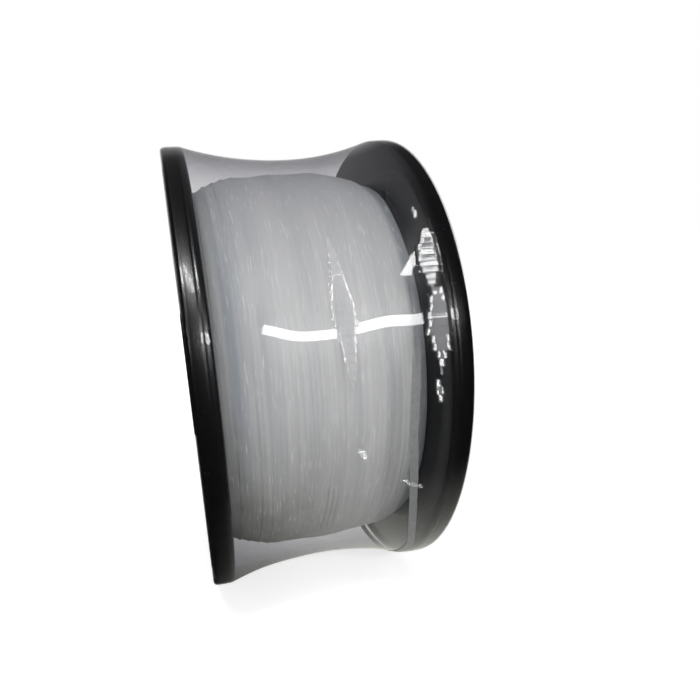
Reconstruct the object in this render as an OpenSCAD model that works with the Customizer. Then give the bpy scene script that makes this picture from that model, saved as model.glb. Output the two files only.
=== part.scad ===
// Spool of clear monofilament fishing line, full and closed in a shrink film.
// Two moulded flanges are screwed to a barrel, and an arbor tube through the middle takes a spindle.
// The spool's axis lies along X, with the origin at the middle of the arbor and +Z up.

/* [Flanges] */
// Diameter of both flanges over their rims
flange_d = 160; // [150:1:220]
// Width of the rim along the axis, which is the depth of the whole flange
rim_w = 7.2; // [6:0.1:12]
// Height of the rim from its outer edge to the web
rim_h = 5.2; // [4:0.1:7]
// Radius of the rim's rolled edges
rim_round = 1.8; // [0.6:0.1:2.4]
// Thickness of the web between the hub and the rim
web_t = 2.4; // [2:0.1:3.2]
// Wall of the hub boss round the arbor tube, on the outer face
hub_wall = 7.9; // [5:0.1:12]
// How far the hub boss stands out past the rim
hub_proud = 0.6; // [0.6:0.1:2]
// Number of ribs between the hub and the label's land
hub_rib_count = 8; // [4:4:12]
// Number of short gussets between the label's land and the rim
gusset_count = 12; // [6:6:12]
// Thickness of the ribs, gussets and land borders
rib_t = 1.6; // [1:0.1:2.4]
// Height of the land borders above the web
border_h = 2.6; // [1.8:0.1:3.2]
// Height of the ribs and gussets above the web
rib_h = 2.2; // [1.2:0.1:2.4]

/* [Core] */
// Width between the flanges' inner faces
traverse = 64.4; // [56:0.2:100]
// Outer diameter of the barrel that the line is wound on
barrel_d = 84; // [80:1:100]
// Wall thickness of the barrel
barrel_wall = 2.4; // [1.8:0.1:4]
// Depth of the groove in each flange that seats the barrel's end
seat_depth = 0.8; // [0.4:0.1:1.2]
// Bore of the arbor, for the spindle
arbor_bore_d = 26; // [16:0.5:30]
// Wall thickness of the arbor tube where it passes through a flange
arbor_wall = 3; // [2:0.1:4]
// Height of the shoulder that holds the arbor tube between the flanges
arbor_step = 2; // [1:0.1:3]

/* [Screws] */
// Distance from the barrel's inner wall to the middle of a screw
screw_inset = 5.6; // [4.5:0.1:7]
// Shank diameter of the flange screws
screw_d = 2.8; // [2:0.1:3.2]
// Head diameter of the flange screws
screw_head_d = 5.8; // [5:0.1:6.4]
// Height of the screw heads
screw_head_h = 1.9; // [1.4:0.1:2.2]
// Length of the shank below the head
screw_l = 12; // [8:0.5:16]
// Diameter of the screw bosses inside the barrel
boss_d = 8; // [6:0.5:9]

/* [Line] */
// Diameter of the line
line_d = 1.6; // [1.2:0.1:1.8]
// Height of the rims above the wound line where it meets the flanges
fill_below_rim = 16; // [13:0.5:20]
// How much higher the wound line stands half way between the flanges
crown_h = 5.5; // [2:0.1:8]
// Most turns that the outer layer shows
most_turns = 24; // [12:1:24]
// Length of the line's free end behind the tape
tail_run = 16; // [13:1:18]

/* [Film] */
// Thickness of the shrink film
film_t = 0.3; // [0.2:0.05:0.5]
// How far the film's waist is drawn in from the rims
waist_drop = 5.3; // [2:0.1:6]
// How far the film reaches in over each flange's outer face
film_lip = 10; // [6:0.5:14]
// Width of the film's welded seam
seam_w = 2.4; // [1.5:0.1:4]
// Distance from the seam's middle to the right flange
seam_inset = 9.7; // [6:0.1:14]
// Angle that the seam runs round the spool
seam_sweep = 200; // [60:5:340]

/* [Labels] */
// Width of the blank label rings, from their inner to their outer edge
label_w = 12; // [8:0.5:13]
// Clear width between a label's border and the tape
label_margin = 1.3; // [0.5:0.1:3]
// Thickness of a label
label_t = 0.25; // [0.15:0.05:0.4]
// Length of the tape patch along the line
tape_l = 11; // [8:1:12]
// Width of the tape patch across the line
tape_w = 9; // [7:1:10]
// Thickness of the tape
tape_t = 0.2; // [0.15:0.05:0.4]

/* [Hidden] */

$fn = 96;

fit_gap = 0.1;      // between rigid pieces that seat in each other
soft_gap = 0.1;     // between the line, the film, the labels and what carries them
screw_count = 4;
tail_angle = 68;    // where the line leaves through the left flange
start_angle = 200;  // where the line's first end goes through the barrel
seam_start = 165;   // where the seam begins, on the side that faces -Y
rings_per_turn = 24;
strand_sides = 6;
bend_rings = 4;
saddle_power = 2.2; // how sharply the film's waist turns up to the rims
crown_power = 4;    // how flat the wound line is between its shoulders

black_plastic = [0.06, 0.06, 0.07];
core_plastic = [0.16, 0.16, 0.17];
clear_line = [0.78, 0.8, 0.8];
clear_film = [0.86, 0.9, 0.95, 0.3];
blank_paper = [0.92, 0.92, 0.9];
screw_steel = [0.6, 0.61, 0.63];

flange_r = flange_d / 2;
half_traverse = traverse / 2;
half_width = half_traverse + rim_w;
half_over_hubs = half_width + hub_proud;
rim_inner_r = flange_r - rim_h;
barrel_r = barrel_d / 2;
arbor_r = arbor_bore_d / 2;
arbor_outer_r = arbor_r + arbor_wall;
arbor_shoulder_r = arbor_outer_r + arbor_step;
hub_r = arbor_outer_r + fit_gap + hub_wall;
screw_circle_r = barrel_r - barrel_wall - screw_inset;
web_outer = half_traverse + web_t;
line_r = line_d / 2;
end_bend_r = 1.5 * line_d;
wind_half = half_traverse - end_bend_r - line_d - fit_gap;
turns = min(most_turns, floor(2 * wind_half / (line_d + 0.5)));
tail_hole_d = 2.75 * line_d;
tail_hole_shift = 0.4 * line_d;
tail_bend_r = 2 * line_d;
saddle_half = half_traverse + 0.6 * rim_round;
film_waist_r = flange_r - waist_drop;
lip_r = flange_r - film_lip;
tail_r = strand_r(wind_half);
label_outer_r = tail_r - tape_w / 2 - label_margin - rib_t;
label_inner_r = label_outer_r - label_w;
land_inner_r = label_inner_r - fit_gap;
land_outer_r = label_outer_r + fit_gap;

// Radius of the outer strand's middle at a place along the axis
function strand_r(x) =
    flange_r - fill_below_rim - line_r
    + crown_h * (1 - pow(min(1, abs(x) / half_traverse), crown_power));

// Radius of the packed line below, clear of a strand that runs straight between its rings
function pack_r(x) = strand_r(x) * cos(180 / rings_per_turn) - line_r - soft_gap;

// A point on a circle round the spool's axis
function round_point(x, r, angle) = [x, r * cos(angle), r * sin(angle)];

// Radius of the film between the rims, at a distance out from its tight line
function saddle_r(x, out) =
    film_waist_r + (flange_r - film_waist_r) * pow(abs(x) / saddle_half, saddle_power) + out;

// Lays a profile of [radius, x] round the spool's axis
module spun() {
    rotate([0, 90, 0]) rotate_extrude() children();
}

// Turns a piece of the left side into its twin on the right
module on_right() {
    rotate([0, 0, 180]) children();
}

// Rim with rolled outer edges, as a profile of radius and depth
module rim_profile() {
    centre_r = flange_r - rim_round;
    steps = 6;
    polygon(concat(
        [[rim_inner_r, rim_w], [rim_inner_r, 0]],
        [for (i = [0:steps]) let (a = 90 * i / steps)
            [centre_r + rim_round * sin(a), rim_round * (1 - cos(a))]],
        [for (i = [0:steps]) let (a = 90 * i / steps)
            [centre_r + rim_round * cos(a), rim_w - rim_round * (1 - sin(a))]]
    ));
}

// Web, hub, land borders and rim of a flange, with the depth measured from its inner face
module flange_profile() {
    hole_r = arbor_outer_r + fit_gap;
    difference() {
        translate([hole_r, 0]) square([rim_inner_r + 0.5 - hole_r, web_t]);
        translate([barrel_r - barrel_wall - fit_gap, -1])
            square([barrel_wall + 2 * fit_gap, 1 + seat_depth]);
    }
    translate([hole_r, 0]) square([hub_r - hole_r, rim_w + hub_proud]);
    translate([land_inner_r - rib_t, 0]) square([rib_t, web_t + border_h]);
    translate([land_outer_r, 0]) square([rib_t, web_t + border_h]);
    rim_profile();
}

// Radial rib on the outer face, between two radii
module rib(from_r, to_r) {
    translate([-rib_t / 2, from_r, web_t - 0.5]) cube([rib_t, to_r - from_r, rib_h + 0.5]);
}

// Flange lying with its inner face on the XY plane and its outer face up
module flange_blank() {
    difference() {
        union() {
            rotate_extrude() flange_profile();
            for (i = [0:hub_rib_count - 1])
                rotate([0, 0, (i + 0.5) * 360 / hub_rib_count])
                    rib(hub_r - 0.5, land_inner_r - rib_t / 2);
            for (i = [0:gusset_count - 1])
                rotate([0, 0, (i + 0.5) * 360 / gusset_count])
                    rib(land_outer_r + rib_t / 2, rim_inner_r + 0.5);
        }
        for (i = [0:screw_count - 1])
            rotate([0, 0, i * 360 / screw_count])
                translate([screw_circle_r, 0, -1]) cylinder(d = screw_d + 2 * fit_gap, h = web_t + 2);
        rotate([0, 0, tail_angle])
            translate([tail_r, -end_bend_r - tail_hole_shift, -1])
                cylinder(d = tail_hole_d, h = web_t + 2);
    }
}

// Stands a piece drawn on the flange's own plane up against the left end of the barrel
module on_left_end() {
    translate([-half_traverse, 0, 0]) rotate([0, -90, 0]) mirror([1, -1, 0]) children();
}

module left_flange() {
    color(black_plastic) on_left_end() flange_blank();
}

module right_flange() {
    color(black_plastic) on_right() on_left_end() flange_blank();
}

// Barrel with the screw bosses on its inner wall and the hole that anchors the line
module barrel() {
    inner_r = barrel_r - barrel_wall;
    tube_half = half_traverse + seat_depth - fit_gap;
    color(core_plastic) difference() {
        union() {
            spun() translate([inner_r, -tube_half]) square([barrel_wall, 2 * tube_half]);
            for (i = [0:screw_count - 1])
                rotate([i * 360 / screw_count, 0, 0])
                    translate([-half_traverse + fit_gap, screw_circle_r, 0]) {
                        rotate([0, 90, 0]) cylinder(d = boss_d, h = traverse - 2 * fit_gap);
                        translate([0, 0, -rib_t])
                            cube([
                                traverse - 2 * fit_gap,
                                inner_r + barrel_wall / 2 - screw_circle_r,
                                2 * rib_t
                            ]);
                    }
        }
        for (i = [0:screw_count - 1])
            rotate([i * 360 / screw_count, 0, 0])
                translate([-half_width, screw_circle_r, 0])
                    rotate([0, 90, 0]) cylinder(d = screw_d + fit_gap, h = 2 * half_width);
        rotate([start_angle, 0, 0]) translate([0, inner_r - 2, 0])
            rotate([-90, 0, 0]) cylinder(d = line_d + 0.8, h = barrel_wall + 4);
    }
}

// Tube for the spindle, with a thicker middle that keeps it between the flanges
module arbor_tube() {
    color(core_plastic) spun() {
        translate([arbor_r, -half_over_hubs]) square([arbor_wall, 2 * half_over_hubs]);
        translate([arbor_r, -half_traverse + fit_gap])
            square([arbor_wall + arbor_step, traverse - 2 * fit_gap]);
    }
}

// One flange's screws, with pan heads on the web and a cross in each head
module screw_set() {
    color(screw_steel) for (i = [0:screw_count - 1])
        rotate([0, 0, i * 360 / screw_count]) translate([screw_circle_r, 0, web_t]) {
            translate([0, 0, -screw_l]) cylinder(d = screw_d, h = screw_l + 0.5);
            difference() {
                cylinder(d = screw_head_d, h = screw_head_h);
                for (turn = [0, 90])
                    rotate([0, 0, turn])
                        translate([-screw_head_d / 3, -0.35, screw_head_h - 0.9])
                            cube([2 * screw_head_d / 3, 0.7, 1]);
            }
        }
}

module left_screws() {
    on_left_end() screw_set();
}

module right_screws() {
    on_right() on_left_end() screw_set();
}

// First end of the line, through the barrel's hole to a knot on the inside
module line_start() {
    knot_r = line_d;
    inner_r = barrel_r - barrel_wall;
    color(clear_line) rotate([start_angle, 0, 0]) rotate([-90, 0, 0]) {
        translate([0, 0, inner_r - knot_r]) cylinder(d = line_d, h = barrel_wall + knot_r);
        translate([0, 0, inner_r - knot_r - soft_gap]) sphere(r = knot_r);
        translate([0, 0, inner_r - 3 * knot_r]) cylinder(d = line_d, h = 2 * knot_r);
    }
}

// The wound line below its outer layer, crowned between the flanges
module inner_line_pack() {
    pack_half = half_traverse - soft_gap;
    steps = 24;
    inner_r = barrel_r + soft_gap;
    color(clear_line) spun() polygon(concat(
        [[inner_r, pack_half], [inner_r, -pack_half]],
        [for (i = [0:steps]) let (x = -pack_half + 2 * pack_half * i / steps) [pack_r(x), x]]
    ));
}

// Outer layer's path: a straight end at each flange, and a steady helix between them
winding_rings = turns * rings_per_turn;
function winding_angle(i) = tail_angle + 360 * i / rings_per_turn;
function winding_x(i) = -wind_half + 2 * wind_half * i / winding_rings;
function helix_point(i) = round_point(winding_x(i), strand_r(winding_x(i)), winding_angle(i));

// A quarter bend from the helix to the axis and a straight end, walked away from the helix
function end_points(i, way) =
    let (
        base = helix_point(i),
        along = round_point(0, 1, winding_angle(i) + way * 90),
        axial = [way, 0, 0]
    )
    concat(
        [for (k = [1:bend_rings])
            let (bend = 90 * k / bend_rings)
            base + end_bend_r * (sin(bend) * along + (1 - cos(bend)) * axial)],
        [base + end_bend_r * along + (end_bend_r + line_d) * axial]
    );
function reversed(list) = [for (i = [len(list) - 1:-1:0]) list[i]];
winding_path = concat(
    reversed(end_points(0, -1)),
    [for (i = [0:winding_rings]) helix_point(i)],
    end_points(winding_rings, 1)
);

// Distance from each strand to the next turn's, less the line's own diameter
half_turn = rings_per_turn / 2;
least_gap = min([
    for (i = [0:len(winding_path) - 1 - half_turn])
        for (j = [i + half_turn:min(i + 3 * half_turn, len(winding_path) - 1)])
            norm(winding_path[i] - winding_path[j]) - line_d
]);
echo(turns = turns, least_gap_between_turns = least_gap);

function unit(v) = v / norm(v);

// Directions along a path, which leave both ends square
function path_tangent(path, i) =
    i == 0 ? unit(path[1] - path[0])
    : i == len(path) - 1 ? unit(path[i] - path[i - 1])
    : unit(unit(path[i + 1] - path[i]) + unit(path[i] - path[i - 1]));

// Sweeps a strand along a path, as triangles; side gives a direction that is never along it
module strand(path, d, sides, side) {
    last = len(path) - 1;
    points = [
        for (i = [0:last])
            let (
                t = path_tangent(path, i),
                across = unit(cross(t, is_undef(side) ? [0, path[i][1], path[i][2]] : side)),
                up = cross(across, t)
            )
            for (k = [0:sides - 1])
                path[i] + d / 2 * (cos(360 * k / sides) * across + sin(360 * k / sides) * up)
    ];
    walls = [
        for (i = [0:last - 1])
            for (k = [0:sides - 1])
                let (
                    a = i * sides + k,
                    b = i * sides + (k + 1) % sides
                )
                for (face = [[a, b, a + sides], [b, b + sides, a + sides]]) face
    ];
    start_cap = [for (k = [1:sides - 2]) [0, k + 1, k]];
    end_cap = [for (k = [1:sides - 2]) [last * sides, last * sides + k, last * sides + k + 1]];
    polyhedron(points = points, faces = concat(walls, start_cap, end_cap));
}

module line_winding() {
    color(clear_line) strand(winding_path, line_d, strand_sides);
}

// The line's last end: out through the left flange, then along its web under the tape
tail_root = end_points(0, -1)[bend_rings];
tail_along = round_point(0, 1, tail_angle - 90);
tail_lift = web_outer + line_r + soft_gap;
tail_path = concat(
    [[-half_traverse, tail_root[1], tail_root[2]]],
    [for (k = [0:6])
        let (bend = 90 * k / 6)
        [-tail_lift, tail_root[1], tail_root[2]]
        + tail_bend_r * ((1 - cos(bend)) * tail_along + [1 - sin(bend), 0, 0])],
    [[-tail_lift, tail_root[1], tail_root[2]] + (tail_bend_r + tail_run) * tail_along]
);

module line_tail() {
    color(clear_line) strand(tail_path, line_d, 12, round_point(0, 1, tail_angle));
}

// Patch of clear tape that holds the line's end down on the web
module tail_tape() {
    tape_r = line_r + 2 * soft_gap;
    middle = [-web_outer, tail_root[1], tail_root[2]] + (tail_bend_r + tail_run / 2) * tail_along;
    color(clear_film) translate(middle) rotate([tail_angle - 90, 0, 0])
        translate([0, tape_l / 2, 0]) rotate([90, 0, 0]) linear_extrude(height = tape_l) {
            difference() {
                translate([-tape_r, 0]) circle(r = tape_r + tape_t);
                translate([-tape_r, 0]) circle(r = tape_r);
                translate([-tape_r, -tape_w]) square([2 * tape_w, 2 * tape_w]);
            }
            for (way = [-1, 1])
                translate([-tape_r - 0.05, way > 0 ? tape_r : -tape_r - tape_t])
                    square([tape_r, tape_t]);
            for (way = [-1, 1])
                translate([-soft_gap / 2 - tape_t, way > 0 ? tape_r : -tape_w / 2])
                    square([tape_t, tape_w / 2 - tape_r]);
        }
}

// One side of the film, from the left lip over both rims to the right lip
function film_side(out) =
    let (
        corner = [for (q = [0:15:90])
            [
                flange_r - rim_round + (rim_round + out) * sin(q),
                -half_width + rim_round - (rim_round + out) * cos(q)
            ]],
        left = concat([[lip_r, -half_width - out]], corner),
        saddle_steps = 24,
        saddle = [for (i = [0:saddle_steps])
            let (x = -saddle_half + 2 * saddle_half * i / saddle_steps)
            [saddle_r(x, out), x]]
    )
    concat(left, saddle, [for (p = reversed(left)) [p[0], -p[1]]]);

module shrink_film() {
    color(clear_film) spun()
        polygon(concat(film_side(soft_gap + film_t), reversed(film_side(soft_gap))));
}

// Welded strip that runs part of the way round the film, beside the right flange
module film_seam() {
    seam_x = half_traverse - seam_inset;
    steps = 4;
    foot = soft_gap + film_t + soft_gap / 2;
    edge = [for (i = [0:steps]) seam_x - seam_w / 2 + seam_w * i / steps];
    color(clear_film) rotate([seam_start + 90, 0, 0]) rotate([0, 90, 0])
        rotate_extrude(angle = seam_sweep) polygon(concat(
            [for (x = edge) [saddle_r(x, foot + film_t), x]],
            [for (x = reversed(edge)) [saddle_r(x, foot), x]]
        ));
}

// Blank paper ring between the land borders of a flange
module label_ring() {
    color(blank_paper) translate([0, 0, web_t + soft_gap / 2]) difference() {
        cylinder(r = label_outer_r, h = label_t);
        translate([0, 0, -1]) cylinder(r = label_inner_r, h = label_t + 2);
    }
}

module left_label() {
    on_left_end() label_ring();
}

module right_label() {
    on_right() on_left_end() label_ring();
}

left_flange();
right_flange();
barrel();
arbor_tube();
left_screws();
right_screws();
line_start();
inner_line_pack();
line_winding();
line_tail();
tail_tape();
shrink_film();
film_seam();
left_label();
right_label();
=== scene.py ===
# %% [markdown]
# # A shrink-wrapped spool of fishing line
# The spool is built round the construction that the frame brings in: two moulded flanges, a barrel and an
# arbor tube, screws, the wound line and a clear shrink film. This notebook dresses each of those pieces in
# the shape and finish that the real one has. The scene is in metres, with the spool's axis along X and +Z up.

# %% Load the construction
import math
from collections import namedtuple

import bpy
import numpy as np
from mathutils import Matrix, Quaternion, Vector, noise


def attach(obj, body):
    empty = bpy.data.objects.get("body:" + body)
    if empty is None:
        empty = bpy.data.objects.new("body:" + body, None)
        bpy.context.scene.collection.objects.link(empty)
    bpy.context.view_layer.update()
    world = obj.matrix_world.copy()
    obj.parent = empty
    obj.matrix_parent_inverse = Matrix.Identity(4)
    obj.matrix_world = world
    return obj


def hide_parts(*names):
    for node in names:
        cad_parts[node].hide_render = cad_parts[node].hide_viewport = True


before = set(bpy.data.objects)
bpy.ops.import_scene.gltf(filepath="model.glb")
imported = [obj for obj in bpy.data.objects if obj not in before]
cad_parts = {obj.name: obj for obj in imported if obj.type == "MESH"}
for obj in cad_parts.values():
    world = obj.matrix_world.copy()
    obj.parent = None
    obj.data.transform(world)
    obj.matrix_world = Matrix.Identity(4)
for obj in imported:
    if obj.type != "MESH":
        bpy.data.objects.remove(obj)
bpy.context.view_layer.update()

# %% [markdown]
# ## Camera
# The camera stands close to the spool, level with the outer face of its left flange, so that flange is seen
# on edge while the right one opens up. A near camera with a wide lens gives the strong perspective that a
# hand-held picture of a small object has. The lens shift only centres the spool in the square frame.

# %% Camera
CAMERA_AT = (-0.03967, -0.22155, 0.04709)
CAMERA_TURN = (72.2176, 3.4791, -12.3701)
LENS, SHIFT_X, SHIFT_Y, CLIP_START = 29.05, 0.0692, 0.1038, 0.01
scene = bpy.context.scene
bpy.ops.object.camera_add(location=CAMERA_AT, rotation=[math.radians(a) for a in CAMERA_TURN])
camera = bpy.context.object
camera.data.lens = LENS
camera.data.shift_x = SHIFT_X
camera.data.shift_y = SHIFT_Y
camera.data.clip_start = CLIP_START
scene.camera = camera
print("camera at", [round(v, 3) for v in camera.location])

# %% [markdown]
# ## Helpers
# An operator acts on all that is selected, so each helper first clears the selection. Sizes are written in
# millimetres, as a maker reads them, and MM turns them to metres.

# %% Selecting, applying, joining and copying
MM = 0.001


def only(obj):
    """Leaves obj as the one selected and active object."""
    bpy.ops.object.select_all(action="DESELECT")
    obj.select_set(True)
    bpy.context.view_layer.objects.active = obj


def select_where(obj, kind, test):
    """Selects the faces, edges or vertices of obj whose middle passes a test, and enters edit mode."""
    only(obj)
    bpy.ops.object.mode_set(mode="EDIT")
    bpy.ops.mesh.select_mode(type={"polygons": "FACE", "edges": "EDGE", "vertices": "VERT"}[kind])
    bpy.ops.mesh.select_all(action="DESELECT")
    bpy.ops.object.mode_set(mode="OBJECT")
    points = obj.data.vertices
    for part in getattr(obj.data, kind):
        if kind == "vertices":
            middle = part.co
        else:
            middle = sum((points[v].co for v in part.vertices), Vector()) / len(part.vertices)
        part.select = bool(test(middle, part))
    bpy.ops.object.mode_set(mode="EDIT")


def join(pieces, name):
    """Joins several meshes to one."""
    only(pieces[0])
    for piece in pieces[1:]:
        piece.select_set(True)
    if len(pieces) > 1:
        bpy.ops.object.join()
    pieces[0].name = name
    return pieces[0]


def new_grid(name, across, up):
    """A flat square of unit size, in so many cells, that is then shaped point by point."""
    bpy.ops.object.select_all(action="DESELECT")
    bpy.ops.mesh.primitive_grid_add(x_subdivisions=across, y_subdivisions=up, size=1)
    bpy.context.object.name = name
    return bpy.context.object


def new_box(middle, size):
    """A box of this size, in mm."""
    bpy.ops.object.select_all(action="DESELECT")
    bpy.ops.mesh.primitive_cube_add(size=1, location=Vector(middle) * MM)
    obj = bpy.context.object
    obj.scale = Vector(size) * MM
    bpy.ops.object.transform_apply(location=True, rotation=True, scale=True)
    return obj


def apply_modifier(obj, kind, **settings):
    """Adds a modifier with these settings and applies it."""
    only(obj)
    bpy.ops.object.modifier_add(type=kind)
    modifier = obj.modifiers[-1]
    for key, value in settings.items():
        setattr(modifier, key, value)
    bpy.ops.object.modifier_apply(modifier=modifier.name)


def boolean(obj, tool, operation):
    """Adds or cuts a tool and removes it."""
    apply_modifier(obj, "BOOLEAN", operation=operation, object=tool, solver="EXACT")
    bpy.data.objects.remove(tool)


def even_normals(obj, weld=0.0):
    """Merges points closer than a distance in mm, and turns all faces the same way."""
    only(obj)
    bpy.ops.object.mode_set(mode="EDIT")
    bpy.ops.mesh.select_all(action="SELECT")
    if weld:
        bpy.ops.mesh.remove_doubles(threshold=weld * MM)
    bpy.ops.mesh.normals_make_consistent(inside=False)
    bpy.ops.object.mode_set(mode="OBJECT")


def turned_copy(obj, angle, axis):
    """Copies a piece with its own mesh, turned about an axis through the spool's middle."""
    copy = obj.copy()
    copy.data = obj.data.copy()
    copy.data.transform(Matrix.Rotation(angle, 4, axis))
    bpy.context.collection.objects.link(copy)
    return copy


def turned_copies(obj, angles, name):
    """Copies a piece round the spool's axis and joins the copies."""
    copies = [turned_copy(obj, math.radians(angle), "X") for angle in angles]
    bpy.data.objects.remove(obj)
    return join(copies, name)


def opposite(obj, name):
    """Copies a piece of the left flange to the right one, turned half round."""
    copy = turned_copy(obj, math.pi, "Z")
    copy.name = name
    return copy


def smooth(obj, angle=30):
    """Shades a piece smooth, except across edges sharper than the angle."""
    only(obj)
    bpy.ops.object.shade_smooth_by_angle(angle=math.radians(angle))


def finish_piece(obj, node, material):
    """Gives a piece its material and says which node it stands for and what it rides on."""
    obj.data.materials.clear()
    obj.data.materials.append(material)
    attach(obj, "root")
    if node:
        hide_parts(node)
    triangles = sum(len(p.vertices) - 2 for p in obj.data.polygons)
    print(f"{obj.name}: {triangles} triangles, stands for {node}")


# %% Turning a profile round the spool's axis
def lathe(name, profile, steps):
    """Draws a closed profile of (place along X, radius) as a chain of extruded points, and spins it."""
    bpy.ops.object.select_all(action="DESELECT")
    bpy.ops.mesh.primitive_plane_add(size=MM)
    obj = bpy.context.object
    obj.name = name
    bpy.ops.object.mode_set(mode="EDIT")
    bpy.ops.mesh.select_mode(type="VERT")
    bpy.ops.mesh.select_all(action="SELECT")
    bpy.ops.mesh.merge(type="CENTER")
    at = Vector()
    for i, (along, radius) in enumerate(profile):
        point = Vector((along, 0, radius)) * MM
        if i == 0:
            bpy.ops.transform.translate(value=point - at)
        else:
            bpy.ops.mesh.extrude_region_move(TRANSFORM_OT_translate={"value": point - at})
        at = point
    bpy.ops.mesh.select_all(action="DESELECT")
    bpy.ops.object.mode_set(mode="OBJECT")
    obj.data.vertices[0].select = True
    obj.data.vertices[len(profile) - 1].select = True
    bpy.ops.object.mode_set(mode="EDIT")
    bpy.ops.mesh.edge_face_add()
    bpy.ops.mesh.select_all(action="SELECT")
    bpy.ops.mesh.spin(steps=steps, angle=2 * math.pi, center=(0, 0, 0), axis=(1, 0, 0))
    bpy.ops.object.mode_set(mode="OBJECT")
    even_normals(obj, 0.002)
    return obj


def arc(centre, radius, start, end, steps):
    """Points of a rounded edge in a profile; 0 degrees points along X and 90 outwards."""
    turns = [math.radians(start + (end - start) * i / steps) for i in range(steps + 1)]
    return [(centre[0] + radius * math.cos(t), centre[1] + radius * math.sin(t)) for t in turns]


# %% [markdown]
# ## Shared effects
# Several finishes share the same small effects: the faint orange peel of a moulded surface, hair-fine
# scratches, and dust. Each is one node group that reads object coordinates and gives out a mask or a height,
# and each material places it with its own values.

# %% Node helpers
def add_node(tree, kind, inputs=None, **settings):
    """Adds a node, sets its properties and fills its inputs with values or links."""
    node = tree.nodes.new(kind)
    for key, value in settings.items():
        setattr(node, key, value)
    for key, value in (inputs or {}).items():
        socket = node.inputs[key]
        if isinstance(value, bpy.types.NodeSocket):
            tree.links.new(value, socket)
        else:
            socket.default_value = value
    return node


def maths(tree, operation, a, b=0.0, clamp=False):
    """One step of arithmetic between two values or links."""
    return add_node(tree, "ShaderNodeMath", {0: a, 1: b}, operation=operation, use_clamp=clamp).outputs[0]


def remap(tree, value, low, high, to_low, to_high):
    """Maps a value from one range to another, kept inside it."""
    inputs = {"Value": value, "From Min": low, "From Max": high, "To Min": to_low, "To Max": to_high}
    return add_node(tree, "ShaderNodeMapRange", inputs, clamp=True).outputs[0]


def times(tree, a, b, clamp=False):
    """The product of two values or links."""
    return maths(tree, "MULTIPLY", a, b, clamp)


def plus(tree, a, b, clamp=False):
    """The sum of two values or links."""
    return maths(tree, "ADD", a, b, clamp)


def mix_colour(tree, factor, a, b):
    """Blends two colours."""
    return add_node(tree, "ShaderNodeMix", {0: factor, 6: a, 7: b}, data_type="RGBA").outputs[2]


def vector_maths(tree, operation, a, b=(0.0, 0.0, 0.0)):
    """One step of arithmetic between two directions or places."""
    return add_node(tree, "ShaderNodeVectorMath", {0: a, 1: b}, operation=operation).outputs[0]


def object_place(tree):
    """Where a point is on its piece, in metres."""
    return add_node(tree, "ShaderNodeTexCoord").outputs["Object"]


def split(tree, vector):
    """The three parts of a place or direction."""
    return add_node(tree, "ShaderNodeSeparateXYZ", {0: vector}).outputs


def stretched(tree, place, scale, turn=(0.0, 0.0, 0.0)):
    """A place turned and stretched, so that a pattern on it runs in streaks."""
    return add_node(tree, "ShaderNodeMapping", {"Vector": place, "Rotation": turn, "Scale": scale}).outputs[0]


def cloud(tree, place, scale, detail):
    """A noise pattern, from 0 to 1."""
    inputs = {"Vector": place, "Scale": scale, "Detail": detail}
    return add_node(tree, "ShaderNodeTexNoise", inputs).outputs["Fac"]


def new_group(name, inputs, outputs):
    """An empty node group with named value inputs and outputs, and object coordinates inside it."""
    group = bpy.data.node_groups.new(name, "ShaderNodeTree")
    for label, value in inputs.items():
        socket = group.interface.new_socket(name=label, in_out="INPUT", socket_type="NodeSocketFloat")
        socket.default_value = value
    for label in outputs:
        group.interface.new_socket(name=label, in_out="OUTPUT", socket_type="NodeSocketFloat")
    start = group.nodes.new("NodeGroupInput")
    end = group.nodes.new("NodeGroupOutput")
    print("group", name)
    return group, start.outputs[0], end, object_place(group)


# %% Moulded skin: the soft unevenness that plastic keeps from its mould
peel, peel_scale, peel_out, place = new_group("moulded_skin", {"Scale": 900.0}, ["Height", "Mottle"])
peel.links.new(cloud(peel, place, peel_scale, 3.0), peel_out.inputs["Height"])
peel.links.new(cloud(peel, place, 60.0, 4.0), peel_out.inputs["Mottle"])

# %% Fine scratches: thin lines from handling, in two directions
scuff, scuff_amount, scuff_out, place = new_group("fine_scratches", {"Amount": 0.5}, ["Mask"])
scratches = []
for turn, stretch in ((0.5, (900.0, 30.0, 60.0)), (1.9, (40.0, 1100.0, 50.0))):
    streaks = cloud(scuff, stretched(scuff, place, stretch, (turn, turn / 2, turn)), 1.0, 2.0)
    scratches.append(remap(scuff, streaks, 0.66, 0.74, 0.0, 1.0))
both = maths(scuff, "MAXIMUM", scratches[0], scratches[1])
scuff.links.new(times(scuff, both, scuff_amount), scuff_out.inputs["Mask"])

# %% Dust: small pale specks that settle on a stored object
dust, dust_amount, dust_out, place = new_group("dust", {"Amount": 0.3}, ["Mask"])
grain = add_node(dust, "ShaderNodeTexVoronoi", {"Vector": place, "Scale": 700.0})
near = remap(dust, grain.outputs["Distance"], 0.08, 0.16, 1.0, 0.0)
some = remap(dust, cloud(dust, place, 160.0, 1.0), 0.58, 0.66, 0.0, 1.0)
dust.links.new(times(dust, times(dust, near, some), dust_amount), dust_out.inputs["Mask"])


# %% Starting a material
def new_material(name):
    """A node material with an empty tree but for its output."""
    material = bpy.data.materials.new(name)
    material.use_nodes = True
    tree = material.node_tree
    tree.nodes.clear()
    print("material", name)
    return material, tree, tree.nodes.new("ShaderNodeOutputMaterial")


def use_group(tree, group, **values):
    """Places a shared effect in a material and gives its outputs."""
    node = add_node(tree, "ShaderNodeGroup", node_tree=group)
    for label, value in values.items():
        node.inputs[label].default_value = value
    return node.outputs


def bump(tree, height, strength, distance):
    """A bump from a height; the distance is in mm."""
    inputs = {"Height": height, "Strength": strength, "Distance": distance * MM}
    return add_node(tree, "ShaderNodeBump", inputs).outputs[0]


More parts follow.
